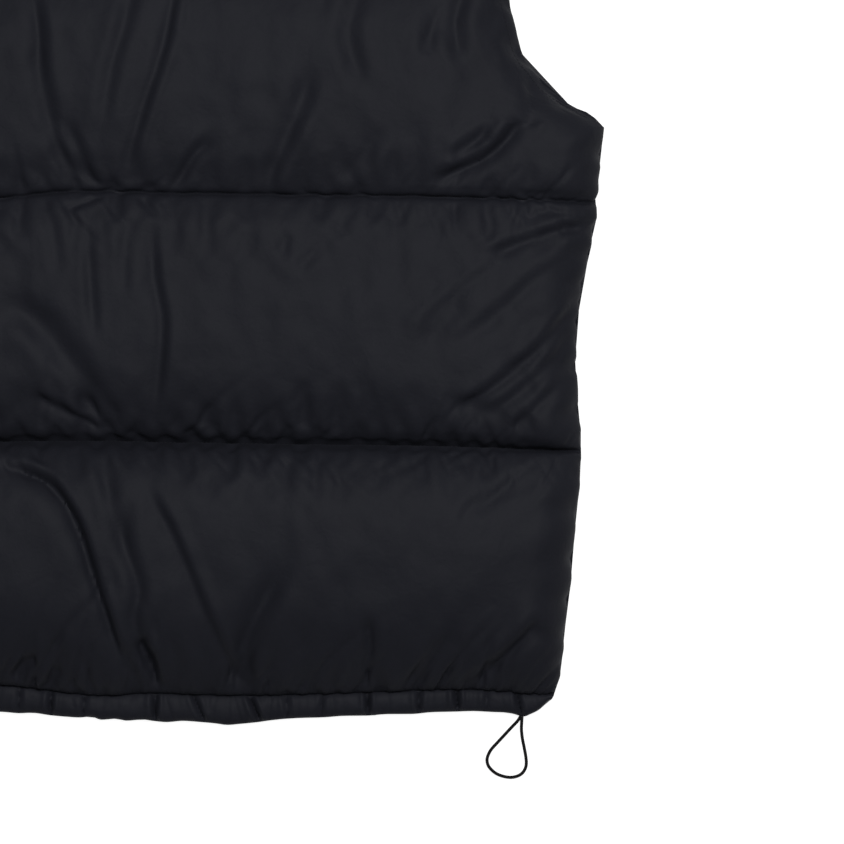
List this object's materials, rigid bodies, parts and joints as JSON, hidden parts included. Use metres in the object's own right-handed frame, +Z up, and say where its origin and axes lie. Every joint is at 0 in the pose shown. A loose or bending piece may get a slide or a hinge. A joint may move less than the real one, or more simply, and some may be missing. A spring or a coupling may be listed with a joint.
{
  "type": "puffer vest laid flat",
  "caption": "Padded quilted vest lying flat on its front, with stand-up collar, front zip, gathered hem and a loop of hem drawcord.",
  "frame": {"origin": "bottom centre of the garment's box, on the surface it lies on, without the drawcord", "axes": "+Z up from the surface, +Y from the hem to the neck, +X towards the wearer's right; the back is up"},
  "size_m": [0.5896, 0.8313, 0.0509],
  "materials": {
    "shell": "matte downproof nylon",
    "zip_tape": "woven polyester tape",
    "zip_metal": "black lacquered metal",
    "drawcord": "braided elastic cord"
  },
  "bodies": {
    "garment": {"back": "shell", "front_left": "shell", "front_right": "shell", "collar": "shell", "hem_back": "shell", "hem_front_left": "shell", "hem_front_right": "shell", "zip_tape_left": "zip_tape", "zip_tape_right": "zip_tape", "zip_box": "zip_metal", "zip_slider": "zip_metal", "drawcord": "drawcord"},
    "zip_pull": {"zip_pull": "zip_metal"}
  },
  "joints": [
    {"name": "zip_pull_swing", "type": "hinge", "parent": "garment", "child": "zip_pull", "pos_m": [0, 0.30092, 0.00691], "axis": [1, 0, 0], "range_deg": [-13, 166]}
  ]
}
